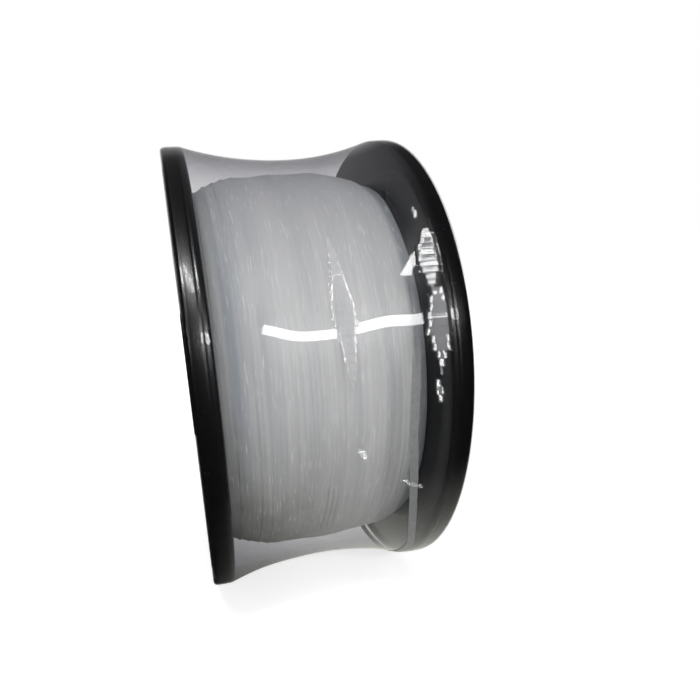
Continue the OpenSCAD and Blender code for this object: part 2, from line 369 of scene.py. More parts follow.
def principled(tree, inputs):
    """A Principled shader with these values and links."""
    return add_node(tree, "ShaderNodeBsdfPrincipled", inputs).outputs[0]


def blend(tree, factor, first, second):
    """Blends two shaders."""
    return add_node(tree, "ShaderNodeMixShader", {0: factor, 1: first, 2: second}).outputs[0]


# %% [markdown]
# ## Flanges
# Each flange is one injection moulding in black plastic: a thin web, a hub round the arbor, a rolled rim that
# the film bears on, and low ribs that keep the web flat. A moulding like this is a turned shape with a few
# things added, so its profile is drawn as extruded points and spun, and then ribs are joined on and holes
# are cut. Both flanges come from one mould, so the right one is the left one turned half round.

# %% Gloss black plastic
flange_material, tree, out = new_material("flange_gloss_black")
skin = use_group(tree, peel, Scale=1400.0)
marks = use_group(tree, scuff, Amount=0.3)
specks = use_group(tree, dust, Amount=0.5)
base = mix_colour(tree, specks["Mask"], (0.003, 0.003, 0.0038, 1), (0.1, 0.095, 0.09, 1))
rough = remap(tree, skin["Mottle"], 0.3, 0.7, 0.16, 0.24)
rough = plus(tree, rough, times(tree, marks["Mask"], 0.18), clamp=True)
rough = plus(tree, rough, times(tree, specks["Mask"], 0.5), clamp=True)
normal = bump(tree, skin["Height"], 0.12, 0.02)
plastic = {"Base Color": base, "Roughness": rough, "Normal": normal, "Specular IOR Level": 0.22}
tree.links.new(principled(tree, plastic), out.inputs[0])

# %% The flange's profile, from its inner face outwards
HALF_TRAVERSE = 32.2
WEB, RIM_W, HUB_PROUD = 2.4, 7.2, 0.6
RIM_R, RIM_INNER_R = 80.0, 74.8
RIM_EDGE, RIM_FILLET, HUB_FILLET, HUB_EDGE, BORE_EDGE = 0.5, 1.0, 1.2, 0.6, 0.3
BEAD_W, BEAD_H, BEAD_POWER = 7.0, 2.0, 5.0
# The groove on the bead's crown is a hair deep. Its place and its half width to either side are shares of
# the bead's half width, and the bead's points lie close together there, so that a highlight bends sharply.
GROOVE, GROOVE_AT, GROOVE_HALVES = 0.034, -0.32, (0.22, 0.1)
BEAD_TURNS = (0, 7, 15, 25, 36, 47, 58, 68, 77, 84, 90, 90.35, 91, 91.9, 93, 95, 97.5, 101, 107, 114, 122)
BEAD_INNER_TURNS = (172, 162, 152, 142, 132)
HUB_R, HOLE_R = 24.0, 16.1
BARREL_SEAT = (39.5, 42.1, 0.8)
BORDER_H, INNER_BORDER, OUTER_BORDER, LABEL_LAND, WEB_RIM = 2.6, (44.4, 46.0), (58.2, 59.8), 46.1, 60.2


def border(inner_r, outer_r, top):
    """A low ring that edges the label's place, with softened top edges, listed from outside in."""
    return [
        (WEB + 0.3, outer_r), (top - 0.3, outer_r), (top - 0.08, outer_r - 0.1), (top, outer_r - 0.3),
        (top, inner_r + 0.3), (top - 0.08, inner_r + 0.1), (top - 0.3, inner_r), (WEB, inner_r),
    ]


def bead(turn, gap=0.0):
    """A point of the rim's rounded bead as (depth, radius), pushed outwards by a gap; 0 is its outer side."""
    c, s = math.cos(math.radians(turn)), math.sin(math.radians(turn))
    u, v = math.copysign(abs(c) ** (2 / BEAD_POWER), c), abs(s) ** (2 / BEAD_POWER)
    steep = BEAD_POWER - 1
    facing = Vector((math.copysign(abs(u) ** steep, u) * 2 / BEAD_W, v ** steep / BEAD_H)).normalized()
    depth = RIM_W - BEAD_W / 2 + BEAD_W / 2 * u + gap * facing.x
    groove_half = GROOVE_HALVES[u > GROOVE_AT]
    groove = GROOVE * max(0.0, 1 - ((u - GROOVE_AT) / groove_half) ** 2) ** 2
    return depth, RIM_R - BEAD_H + BEAD_H * v + gap * facing.y - groove


border_top = WEB + BORDER_H
hub_top = RIM_W + HUB_PROUD
seat_in, seat_out, seat_depth = BARREL_SEAT
depths = [(0.25, HOLE_R), (0.0, HOLE_R + 0.25), (0.0, seat_in), (seat_depth, seat_in)]
depths += [(seat_depth, seat_out), (0.0, seat_out), (0.0, 60.0), (0.0, RIM_R - BEAD_H - 0.4)]
depths += [bead(turn) for turn in BEAD_INNER_TURNS + BEAD_TURNS[::-1]]
depths += arc((RIM_W - RIM_EDGE, RIM_INNER_R + RIM_EDGE), RIM_EDGE, 0, -90, 4)
depths += arc((WEB + RIM_FILLET, RIM_INNER_R - RIM_FILLET), RIM_FILLET, 90, 180, 4)
depths += [(WEB, WEB_RIM)] + border(*OUTER_BORDER, border_top) + [(WEB, LABEL_LAND)]
border_foot = INNER_BORDER[0]
depths += border(*INNER_BORDER, border_top)[:-1] + [(WEB + 0.3, border_foot), (WEB, border_foot - 0.3)]
depths += arc((WEB + HUB_FILLET, HUB_R + HUB_FILLET), HUB_FILLET, 180, 270, 4)
depths += [(hub_top - HUB_EDGE, HUB_R), (hub_top - 0.18, HUB_R - 0.18), (hub_top, HUB_R - HUB_EDGE)]
depths += [(hub_top, HOLE_R + BORE_EDGE), (hub_top - BORE_EDGE, HOLE_R)]
left_flange = lathe("left_flange_moulding", [(-HALF_TRAVERSE - d, r) for d, r in depths], 192)
print(len(depths), "points in the flange's profile")


# %% Ribs on the flange's outer face
RIB_H, RIB_T, RIB_SUNK, RIB_TAPER, RIB_EDGE = 2.2, 1.6, 0.5, 0.8, 0.25
HUB_RIBS, GUSSETS = (23.5, 45.2, 8), (59.0, 75.3, 12)


def rib(from_r, to_r):
    """A radial rib along +Z with a narrowed, softened top, standing on the left flange's web."""
    middle_x = -HALF_TRAVERSE - WEB - RIB_H / 2 + RIB_SUNK / 2
    piece = new_box((middle_x, 0, (from_r + to_r) / 2), (RIB_H + RIB_SUNK, RIB_T, to_r - from_r))
    select_where(piece, "polygons", lambda middle, face: face.normal.x < -0.9)
    bpy.ops.transform.resize(value=(1, RIB_TAPER, 1))
    bpy.ops.mesh.bevel(offset=RIB_EDGE * MM, segments=3)
    bpy.ops.object.mode_set(mode="OBJECT")
    return piece


def rib_ring(name, from_r, to_r, count):
    """Evenly spaced ribs, none of them straight up."""
    return turned_copies(rib(from_r, to_r), [(i + 0.5) * 360 / count - 90 for i in range(count)], name)


ribs = join([rib_ring("hub_ribs", *HUB_RIBS), rib_ring("gussets", *GUSSETS)], "ribs")
boolean(left_flange, ribs, "UNION")
print("ribs joined:", len(left_flange.data.polygons), "faces")

# %% Holes and the marks of the mould's ejector pins
def plug(radius, from_depth, to_depth, at_r, angle, sides=24):
    """A short cylinder through the left flange, used to cut it."""
    bpy.ops.object.select_all(action="DESELECT")
    a = math.radians(angle)
    middle = -HALF_TRAVERSE - (from_depth + to_depth) / 2
    bpy.ops.mesh.primitive_cylinder_add(
        vertices=sides, radius=radius * MM, depth=(to_depth - from_depth) * MM,
        location=Vector((middle, at_r * math.cos(a), at_r * math.sin(a))) * MM,
        rotation=(0, math.pi / 2, 0),
    )
    piece = bpy.context.object
    bpy.ops.object.transform_apply(location=True, rotation=True, scale=True)
    return piece


SCREW_R, SCREW_ANGLES, SCREW_HOLE_R = 34.0, (0, 90, 180, 270), 1.5
TAIL_ANGLE = 68.0
# The line's hole: how far out it lies at that angle, how far to the side of it, and its radius.
TAIL_HOLE_OUT, TAIL_HOLE_ASIDE, TAIL_HOLE_R = 65.5, 3.04, 2.2
PIN_DEPTH, BOSS_PIN_R = 0.15, 2.6
WEB_PIN_R, WEB_PIN_AT, WEB_PIN_ANGLES = 2.2, 67.3, (0, 120, 180, 240, 300)
OVERCUT = 1.0
through, marked = (-OVERCUT, WEB + OVERCUT), (WEB - PIN_DEPTH, WEB + OVERCUT)
tail_hole_at = math.hypot(TAIL_HOLE_OUT, TAIL_HOLE_ASIDE)
tail_hole_angle = TAIL_ANGLE - math.degrees(math.atan2(TAIL_HOLE_ASIDE, TAIL_HOLE_OUT))
tools = [plug(SCREW_HOLE_R, *through, SCREW_R, a) for a in SCREW_ANGLES]
tools.append(plug(TAIL_HOLE_R, *through, tail_hole_at, tail_hole_angle, 32))
tools += [plug(BOSS_PIN_R, *marked, SCREW_R, a + 45) for a in SCREW_ANGLES]
tools += [plug(WEB_PIN_R, *marked, WEB_PIN_AT, a) for a in WEB_PIN_ANGLES]
boolean(left_flange, join(tools, "cutters"), "DIFFERENCE")
smooth(left_flange)
right_flange = opposite(left_flange, "right_flange_moulding")
finish_piece(left_flange, "left_flange", flange_material)
finish_piece(right_flange, "right_flange", flange_material)

# %% [markdown]
# ## Core
# The barrel and the arbor tube are plain black mouldings with a duller skin, since nobody sees them once the
# spool is full. The barrel is shut in by the line and the flanges, so its own solid keeps its shape and only
# gets the finish. The arbor tube's ends show in the hubs, so it is turned anew with eased edges.

# %% Matt black plastic
core_material, tree, out = new_material("core_matt_black")
skin = use_group(tree, peel, Scale=1800.0)
marks = use_group(tree, scuff, Amount=1.0)
base = mix_colour(tree, skin["Mottle"], (0.016, 0.016, 0.018, 1), (0.026, 0.026, 0.028, 1))
rough = remap(tree, skin["Mottle"], 0.3, 0.7, 0.42, 0.55)
rough = maths(tree, "SUBTRACT", rough, times(tree, marks["Mask"], 0.15))
plastic = {"Base Color": base, "Roughness": rough, "Normal": bump(tree, skin["Height"], 0.3, 0.03)}
tree.links.new(principled(tree, plastic), out.inputs[0])

# %% The arbor tube, with its shoulder held between the flanges
HALF_HUBS, ARBOR_R, ARBOR_WALL, SHOULDER = 40.0, 13.0, 3.0, 2.0
SHOULDER_GAP, EASE = 0.1, 0.4
tube_r = ARBOR_R + ARBOR_WALL
shoulder_x = HALF_TRAVERSE - SHOULDER_GAP
bore = [(0.0, ARBOR_R + 0.12), (20.0, ARBOR_R + 0.02), (HALF_HUBS - 0.5, ARBOR_R), (HALF_HUBS, ARBOR_R + 0.5)]
outside = [(HALF_HUBS, tube_r - EASE), (HALF_HUBS - EASE, tube_r), (shoulder_x, tube_r)]
outside += [(shoulder_x, tube_r + SHOULDER - 0.3), (HALF_TRAVERSE - EASE, tube_r + SHOULDER)]
right_half = bore + outside
arbor = lathe("arbor_tube_turned", right_half + [(-x, r) for x, r in reversed(right_half[1:])], 96)
smooth(arbor)
finish_piece(arbor, "arbor_tube", core_material)
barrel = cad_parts["barrel"]
barrel.data.materials.clear()
barrel.data.materials.append(core_material)

# %% [markdown]
# ## Screws
# Small pan-head screws hold each flange to the barrel's bosses. One is modelled with a domed head and a
# tapered cross recess, and copied four times to each side.

# %% Bright zinc
screw_material, tree, out = new_material("screw_zinc")
skin = use_group(tree, peel, Scale=2600.0)
marks = use_group(tree, scuff, Amount=1.0)
base = mix_colour(tree, skin["Mottle"], (0.46, 0.47, 0.5, 1), (0.56, 0.56, 0.57, 1))
rough = remap(tree, skin["Height"], 0.3, 0.7, 0.22, 0.36)
rough = plus(tree, rough, times(tree, marks["Mask"], 0.2), clamp=True)
normal = bump(tree, skin["Height"], 0.2, 0.02)
metal = {"Base Color": base, "Roughness": rough, "Normal": normal, "Metallic": 1.0}
tree.links.new(principled(tree, metal), out.inputs[0])

# %% One screw, turned about its own axis along X, then its cross
HEAD = [(-1.9, 0.02), (-1.88, 0.7), (-1.75, 1.5), (-1.45, 2.3), (-1.0, 2.75), (-0.5, 2.9), (0.0, 2.9)]
TIP = [(10.4, 1.15), (11.6, 0.35), (11.2, 0.02)]
THREAD_R, THREAD_ROOT_R, PITCH, THREADS, THREAD_START = 1.4, 1.12, 1.4, 7, 1.6
BLADE_X, BLADE, BLADE_TAPER = -1.6, (1.6, 3.4, 0.75), (1, 0.45, 0.6)
SCREW_TURN = 20


def screw():
    """A pan-head screw with its seat at x = 0 and its head towards -X, still on the spool's axis."""
    profile = HEAD + [(0.0, THREAD_R)]
    for k in range(THREADS):
        crest = THREAD_START + PITCH * k
        profile += [(crest - PITCH / 2, THREAD_ROOT_R), (crest, THREAD_R)]
    piece = lathe("screw", profile + TIP, 32)
    for turn in (0, math.pi / 2):
        blade = new_box((BLADE_X, 0, 0), BLADE)
        select_where(blade, "polygons", lambda middle, face: face.normal.x > 0.9)
        bpy.ops.transform.resize(value=BLADE_TAPER)
        bpy.ops.object.mode_set(mode="OBJECT")
        blade.data.transform(Matrix.Rotation(turn, 4, "X"))
        boolean(piece, blade, "DIFFERENCE")
    return piece


def screw_ring(name):
    """Four screws of the left flange, all turned by the driver to the same place."""
    piece = screw()
    piece.data.transform(Matrix.Rotation(math.radians(SCREW_TURN), 4, "X"))
    piece.data.transform(Matrix.Translation(Vector((-HALF_TRAVERSE - WEB, SCREW_R, 0)) * MM))
    return turned_copies(piece, SCREW_ANGLES, name)


left_screws = screw_ring("left_flange_screws")
smooth(left_screws, 40)
right_screws = opposite(left_screws, "right_flange_screws")
finish_piece(left_screws, "left_screws", screw_material)
finish_piece(right_screws, "right_screws", screw_material)

# %% [markdown]
# ## The wound line
# Clear nylon line looks milky once hundreds of turns lie on each other, because light scatters between the
# strands. The outer layers are one real strand here: a close layer from the left flange to the right one, and
# a second layer back that leaves the turns near the left flange open. The line below them is one ring with a
# scalloped surface. The turns lie a little unevenly, as a winding machine leaves them.

# %% Milky nylon
STREAK_SCALES = ((900.0, 12.0, 12.0), (260.0, 7.0, 7.0))
GLINT_SCALE = (2500.0, 170.0, 170.0)


def nylon_shades(tree, place, streaks):
    """The colour: streaks of uneven tone that are partly a painted sheen, painted shade in bands on the left,
    on the top, on the last turns and underneath, and painted glints.
    """
    parts = split(tree, place)
    # The streaks are partly uneven tone and partly a painted sheen along the strands.
    shade = plus(tree, times(tree, streaks[0], 0.5), times(tree, streaks[1], 0.5))
    base = mix_colour(tree, shade, (0.61, 0.62, 0.625, 1), (0.82, 0.82, 0.815, 1))
    # Painted shade: darker bluish bands towards the left flange, where the turns lie open.
    left_shade_bands = remap(tree, parts[0], -0.012, -0.026, 0.0, 1.0)
    left_shade_bands = times(tree, left_shade_bands, remap(tree, streaks[1], 0.25, 0.75, 0.1, 1.0))
    base = mix_colour(tree, left_shade_bands, base, (0.46, 0.5, 0.54, 1))
    # Painted shade: the top of the winding is darker, most towards the right.
    upper = remap(tree, parts[2], 0.03, 0.062, 0.0, 1.0)
    upper = times(tree, upper, remap(tree, parts[0], -0.01, 0.03, 0.6, 0.9))
    base = mix_colour(tree, upper, base, (0.55, 0.555, 0.58, 1))
    # Painted shade: the last turns by the right flange are darker.
    last_turns = times(tree, remap(tree, parts[0], 0.0262, 0.0282, 0.0, 1.0), 0.85)
    base = mix_colour(tree, last_turns, base, (0.36, 0.39, 0.42, 1))
    # Painted shade and a painted warm reflection: the underside is darker and olive, most on the left, with
    # darker mottles.
    low = remap(tree, parts[2], 0.0, -0.058, 0.0, 1.0)
    low = times(tree, low, remap(tree, parts[0], -0.026, 0.02, 0.95, 0.12))
    base = mix_colour(tree, low, base, (0.4, 0.4, 0.34, 1))
    underside_shade_mottle = remap(tree, cloud(tree, place, 70.0, 2.0), 0.48, 0.66, 0.0, 0.6)
    base = mix_colour(tree, times(tree, low, underside_shade_mottle), base, (0.26, 0.26, 0.21, 1))
    # Painted glints: thin white dashes along the strands.
    glint = cloud(tree, stretched(tree, place, GLINT_SCALE), 1.0, 1.0)
    return mix_colour(tree, remap(tree, glint, 0.62, 0.76, 0.0, 0.6), base, (1.0, 1.0, 1.0, 1))


def even_normal(tree, place, evened):
    """The strand's own normal, blended by a share with that of the broad winding below it."""
    along = maths(tree, "DIVIDE", split(tree, place)[0], 0.0322)
    slope = times(tree, maths(tree, "POWER", along, 3.0), 0.68)
    radial = vector_maths(tree, "MULTIPLY", place, (0.0, 1.0, 1.0))
    radial = vector_maths(tree, "NORMALIZE", radial)
    tipped = add_node(tree, "ShaderNodeCombineXYZ", {0: slope}).outputs[0]
    broad = vector_maths(tree, "NORMALIZE", vector_maths(tree, "ADD", radial, tipped))
    own = add_node(tree, "ShaderNodeNewGeometry").outputs["Normal"]
    blended = add_node(tree, "ShaderNodeMix", {0: evened, 4: own, 5: broad}, data_type="VECTOR")
    return vector_maths(tree, "NORMALIZE", blended.outputs[1])


def nylon(name, evened):
    """Milky nylon. Light that wanders between wound strands evens out their shading by a share."""
    material, tree, out = new_material(name)
    place = object_place(tree)
    streaks = []
    for scale in STREAK_SCALES:
        streak = cloud(tree, stretched(tree, place, scale), 1.0, 2.0)
        streaks.append(remap(tree, streak, 0.3, 0.7, 0.0, 1.0))
    milk = {
        "Base Color": nylon_shades(tree, place, streaks),
        "Roughness": remap(tree, streaks[0], 0.0, 1.0, 0.34, 0.5),
        "Normal": even_normal(tree, place, evened),
        "IOR": 1.53,
        "Specular IOR Level": 0.3,
    }
    tree.links.new(principled(tree, milk), out.inputs[0])
    return material


line_material = nylon("line_milky_wound", 0.96)
end_material = nylon("line_milky_end", 0.0)

# %% Where the wound line's surface lies
LINE_D = 1.6
EDGE_R, CROWN_H = 63.2, 5.5
SWELL, LEAN, LEAN_ANGLE = 0.9, 1.0, 100.0
COVER_LEFT, COVER_RIGHT, COVER_FADE = -17, 27, 4


def within(share):
    """Keeps a share from 0 to 1."""
    return min(1.0, max(0.0, share))


def crown(x):
    """Radius of the outer strand's middle at a place along the axis, in mm."""
    return EDGE_R + CROWN_H * (1 - min(1.0, abs(x) / HALF_TRAVERSE) ** 4)


def unevenness(x, angle):
    """How much the winding stands up or sinks at a place; it leans a little to one side as well."""
    a = math.radians(angle)
    swell = noise.noise(Vector((x * 0.09, 1.6 * math.cos(a), 1.6 * math.sin(a)))) * SWELL
    lean = LEAN * math.cos(a - math.radians(LEAN_ANGLE)) * (1 - (abs(x) / HALF_TRAVERSE) ** 6)
    return swell + lean


def covered(x):
    """1 where the second layer lies over the first, and 0 near the flanges."""
    return within((x - COVER_LEFT) / COVER_FADE) * within((COVER_RIGHT - x) / COVER_FADE)


def at(x, r, angle):
    """A point round the spool's axis, in metres; 0 degrees is +Y and 90 is +Z."""
    a = math.radians(angle)
    return Vector((x, r * math.cos(a), r * math.sin(a))) * MM


print("the winding is", 2 * (crown(0) + LINE_D / 2), "mm across at its crown")

# %% The strand's path
RINGS = 84
FIRST_TURNS, TURN_BACK_X, OPEN_X = 38, 26.0, -15.0
SECOND_TURNS, OPEN_TURNS = 25, 5
SUNK, OPEN_LIFT, WALL_GAP = 1.35, 0.45, 0.1
ring_angle = 360 / RINGS
wind_half = HALF_TRAVERSE - LINE_D / 2 - WALL_GAP


def waver(size, pace, y=0.0, z=0.0):
    """Small slow noise along the strand: how far it strays, and the point's place in the noise."""
    return size * noise.noise(Vector((pace, y, z)))


path = []
for i in range(FIRST_TURNS * RINGS + 1):
    angle = TAIL_ANGLE + 360 * i / RINGS
    x = -wind_half + 2 * wind_half * i / (FIRST_TURNS * RINGS) + waver(0.16, i * 0.013, y=3.1)
    x = max(-wind_half, min(wind_half, x))
    lift = waver(0.12, i * 0.021, z=7.7) - SUNK * covered(x)
    path.append((x, crown(x) + unevenness(x, angle) + lift, angle))
for k in range(1, RINGS // 2 + 1):
    t = k / (RINGS // 2)
    x = wind_half + (TURN_BACK_X - wind_half) * t
    angle += ring_angle
    lift = LINE_D * min(1, 2 * t) * (1 - t) + WALL_GAP
    path.append((x, crown(x) + unevenness(x, angle) + lift, angle))
for start_x, turns, end_x in ((TURN_BACK_X, SECOND_TURNS, OPEN_X), (OPEN_X, OPEN_TURNS, -wind_half)):
    steps = turns * RINGS
    for k in range(1, steps + 1):
        x = start_x + (end_x - start_x) * k / steps + waver(0.2, k * 0.012, y=9.2, z=start_x)
        x = max(-wind_half, x)
        angle += ring_angle
        lift = OPEN_LIFT * (1 - covered(x)) + waver(0.15, k * 0.017, y=2.2, z=start_x)
        path.append((x, crown(x) + unevenness(x, angle) + lift, angle))
shown = sum(r for _, r, _ in path) * math.radians(ring_angle) / 1000
print(len(path), "points,", round(shown, 1), "m shown")

# %% A strand swept along a path
def strand(name, points, diameter, sides=8):
    """A curve through the points, given a round section and made a mesh."""
    data = bpy.data.curves.new(name, "CURVE")
    data.dimensions = "3D"
    spline = data.splines.new("POLY")
    spline.points.add(len(points) - 1)
    spline.points.foreach_set("co", [c for p in points for c in (*p, 1.0)])
    data.bevel_depth = diameter / 2 * MM
    data.bevel_resolution = sides // 2 - 2
    data.use_fill_caps = True
    obj = bpy.data.objects.new(name, data)
    bpy.context.collection.objects.link(obj)
    only(obj)
    bpy.ops.object.convert(target="MESH")
    obj = bpy.context.object
    even_normals(obj, 0.001)
    smooth(obj, 60)
    return obj


winding = strand("line_outer_layers", [at(*p) for p in path], LINE_D)
finish_piece(winding, "line_winding", line_material)

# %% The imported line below
PACK_GAP, PACK_HOLLOW, SURFACE_FROM_R = 0.1, 0.4, 50
PACK_FILL, PACK_FILL_OPEN, OPEN_FROM = 0.68, 0.3, -13
pack_half = HALF_TRAVERSE - PACK_GAP
ridges = int(2 * pack_half / (LINE_D + 0.03))
ridge_w = 2 * pack_half / ridges
profile = [(-pack_half, seat_out)]
for k in range(ridges):
    for step in (-0.5, -0.3, -0.1, 0.1, 0.3):
        x = -pack_half + (k + 0.5 + step) * ridge_w
        fill = PACK_FILL + PACK_FILL_OPEN * within((OPEN_FROM - x) / COVER_FADE)
        profile.append((x, crown(x) + fill - PACK_HOLLOW * (1 - math.sqrt(1 - (1.9 * step) ** 2))))
profile += [(pack_half, crown(pack_half) - LINE_D), (pack_half, seat_out)]
pack = lathe("line_below", profile, 120)
for vertex in pack.data.vertices:
    x, y, z = vertex.co / MM
    r = math.hypot(y, z)
    if r > SURFACE_FROM_R:
        grown = r + unevenness(x, math.degrees(math.atan2(z, y)))
        vertex.co.y, vertex.co.z = y / r * grown * MM, z / r * grown * MM
smooth(pack, 60)
finish_piece(pack, "inner_line_pack", line_material)

# %% [markdown]
# ## The line's ends
# The last end goes out through a hole in the left flange, bends over and lies along the web under a patch of
# clear tape. The first end goes through the barrel and stops in a knot, out of sight.

# %% The last end
BEND_R, TAIL_RUN, TAIL_SWAY, TAIL_GAP = 3.2, 16.0, 0.25, 0.1
TAIL_OUT, TAIL_ASIDE = 65.52, 2.4
BEND_STEPS, RUN_STEPS = 8, 12
AXIAL = Vector((1, 0, 0))


def outwards(angle):
    """The direction away from the axis at an angle; 0 degrees is +Y and 90 is +Z."""
    return Vector((0, math.cos(math.radians(angle)), math.sin(math.radians(angle))))


tail_x = HALF_TRAVERSE + WEB + LINE_D / 2 + TAIL_GAP
tail_away, tail_along = outwards(TAIL_ANGLE), outwards(TAIL_ANGLE - 90)
tail_root = tail_away * TAIL_OUT + tail_along * TAIL_ASIDE
tail = [tail_root - AXIAL * (HALF_TRAVERSE - 0.4), tail_root - AXIAL * (HALF_TRAVERSE + 0.2)]
for k in range(BEND_STEPS + 1):
    bend = math.radians(90 * k / BEND_STEPS)
    down = AXIAL * (BEND_R * (1 - math.sin(bend)) - tail_x)
    tail.append(tail_root + down + tail_along * BEND_R * (1 - math.cos(bend)))
for k in range(1, RUN_STEPS + 1):
    sway = tail_away * TAIL_SWAY * math.sin(math.pi * k / RUN_STEPS)
    tail.append(tail_root - AXIAL * tail_x + tail_along * (BEND_R + TAIL_RUN * k / RUN_STEPS) + sway)
tail_piece = strand("line_last_end", [p * MM for p in tail], LINE_D, 12)
finish_piece(tail_piece, "line_tail", end_material)

# %% The first end: a knot inside the barrel
KNOT_ANGLE, KNOT_STEPS, KNOT_LINE_D = 200.0, 24, 1.1
KNOT_R, KNOT_DROP, KNOT_HEAVE = 38.1, 1.4, 0.55
KNOT_SIZE, SIDE_LOOP, AXIAL_LOOP, KNOT_SHIFT = 0.7125, 1.1, 1.1, 0.072
knot_away = outwards(KNOT_ANGLE)
knot_side = outwards(KNOT_ANGLE + 90)
knot = [knot_away * r for r in (41.9, 41.0, 40.0, 39.0)]
for k in range(KNOT_STEPS + 1):
    t = 2 * math.pi * k / KNOT_STEPS
    loop = knot_side * KNOT_SIZE * (math.sin(t) + SIDE_LOOP * math.sin(2 * t))
    loop += AXIAL * (KNOT_SIZE * (math.cos(t) - AXIAL_LOOP * math.cos(2 * t)) + KNOT_SHIFT)
    knot.append(knot_away * (KNOT_R - KNOT_DROP * k / KNOT_STEPS + KNOT_HEAVE * math.sin(3 * t)) + loop)
knot += [knot_away * r + AXIAL * 0.1 for r in (35.6, 35.0)]
knot_piece = strand("line_first_end", [p * MM for p in knot], KNOT_LINE_D)
finish_piece(knot_piece, "line_start", end_material)

# %% [markdown]
# ## Labels and tape
# A ring of blank paper lies in the shallow land of each flange. It has a printed border and nothing else. The
# tape is a thin strip that drapes over the line's end, so it is a grid pushed down on both sides of it.

# %% Paper with a plain border
PRINTED_RINGS = ((0.0474, 0.00028), (0.0568, 0.00028), (0.0561, 0.0001))
INK_EDGE = 0.00006
label_material, tree, out = new_material("label_paper")
place = object_place(tree)
_, up_y, up_z = split(tree, place)
radius = maths(tree, "SQRT", plus(tree, times(tree, up_y, up_y), times(tree, up_z, up_z)))
rings = []
for ring_r, half_line in PRINTED_RINGS:
    away = maths(tree, "ABSOLUTE", maths(tree, "SUBTRACT", radius, ring_r))
    rings.append(remap(tree, away, half_line, half_line + INK_EDGE, 1.0, 0.0))
ink = maths(tree, "MAXIMUM", maths(tree, "MAXIMUM", rings[0], rings[1]), rings[2])
fibre = cloud(tree, place, 1500.0, 5.0)
paper = mix_colour(tree, cloud(tree, place, 90.0, 3.0), (0.74, 0.735, 0.71, 1), (0.84, 0.84, 0.82, 1))
base = mix_colour(tree, times(tree, ink, 0.85), paper, (0.06, 0.065, 0.07, 1))
rough = remap(tree, fibre, 0.3, 0.7, 0.5, 0.66)
printed = {"Base Color": base, "Roughness": rough, "Normal": bump(tree, fibre, 0.25, 0.03)}
tree.links.new(principled(tree, printed), out.inputs[0])

# %% Label rings
LABEL_IN, LABEL_OUT, LABEL_T, LABEL_GAP, LABEL_EDGE = 46.12, 58.08, 0.25, 0.05, 0.06
back_x = -(HALF_TRAVERSE + WEB + LABEL_GAP)
front_x = back_x - LABEL_T
ring = [(back_x, LABEL_IN + 0.05), (back_x, LABEL_OUT - 0.05), (back_x - LABEL_EDGE, LABEL_OUT)]
ring += [(front_x + LABEL_EDGE, LABEL_OUT), (front_x, LABEL_OUT - 0.08), (front_x, 56.0), (front_x, 52.0)]
ring += [(front_x, 48.0), (front_x, LABEL_IN + 0.08), (front_x + LABEL_EDGE, LABEL_IN)]
left_label = lathe("left_label_ring", ring, 160)
for vertex in left_label.data.vertices:
    blister = noise.noise(vertex.co * 60) * 0.12 + 0.05
    if vertex.co.x < (back_x - 0.1) * MM:
        vertex.co.x -= max(0.0, blister) * MM
smooth(left_label)
right_label = opposite(left_label, "right_label_ring")
finish_piece(left_label, "left_label", label_material)
finish_piece(right_label, "right_label", label_material)

# %% Clear tape: see-through, glossy, a little yellowed
tape_material, tree, out = new_material("tape_clear")
bubble = cloud(tree, object_place(tree), 420.0, 2.0)
clear_tape = {
    "Base Color": (0.86, 0.85, 0.78, 1),
    "Roughness": remap(tree, bubble, 0.3, 0.7, 0.12, 0.3),
    "Alpha": remap(tree, bubble, 0.5, 0.62, 0.16, 0.45),
    "Normal": bump(tree, bubble, 0.3, 0.05),
    "IOR": 1.48,
}
tree.links.new(principled(tree, clear_tape), out.inputs[0])

# %% The tape patch, draped over the line's end
TAPE_L, TAPE_W, TAPE_T = 11.0, 9.0, 0.12
HUMP_H, HUMP_TOP, HUMP_SIDE = LINE_D + 0.25, 0.45, 1.7
TAPE_GAP, RIPPLE = 0.06, 0.06
tape = new_grid("tape_patch", 30, 44)
tape_middle = tail_root + tail_along * (BEND_R + TAIL_RUN / 2)
for vertex in tape.data.vertices:
    run, across = vertex.co.x * TAPE_L, vertex.co.y * TAPE_W
    rise = within(1 - (abs(across) - HUMP_TOP) / HUMP_SIDE)
    hump = HUMP_H * rise * rise * (3 - 2 * rise)
    ripple = RIPPLE * noise.noise(Vector((run * 0.8, across * 0.8, 4.4))) + RIPPLE
    flat = tape_middle + tail_along * run + tail_away * across
    vertex.co = (flat - AXIAL * (HALF_TRAVERSE + WEB + TAPE_GAP + hump + ripple)) * MM
even_normals(tape)
if tape.data.polygons[0].normal.x > 0:
    tape.data.flip_normals()
apply_modifier(tape, "SOLIDIFY", thickness=TAPE_T * MM, offset=1)
smooth(tape, 50)
finish_piece(tape, "tail_tape", tape_material)

# %% [markdown]
# ## Shrink film
# The film is a clear sleeve that heat has drawn tight. It bears on both rims, draws in to a waist over the
# line, and folds in over each flange's outer face, where its free edge puckers. Where the sleeve had slack it
# gathered into small crinkles. A grid is wrapped round the spool as the film's outer side, with its points
# close together where the crinkles are, and gets its thickness inwards. Its facets then stay as flat as they
# are drawn, which keeps what they mirror sharp.

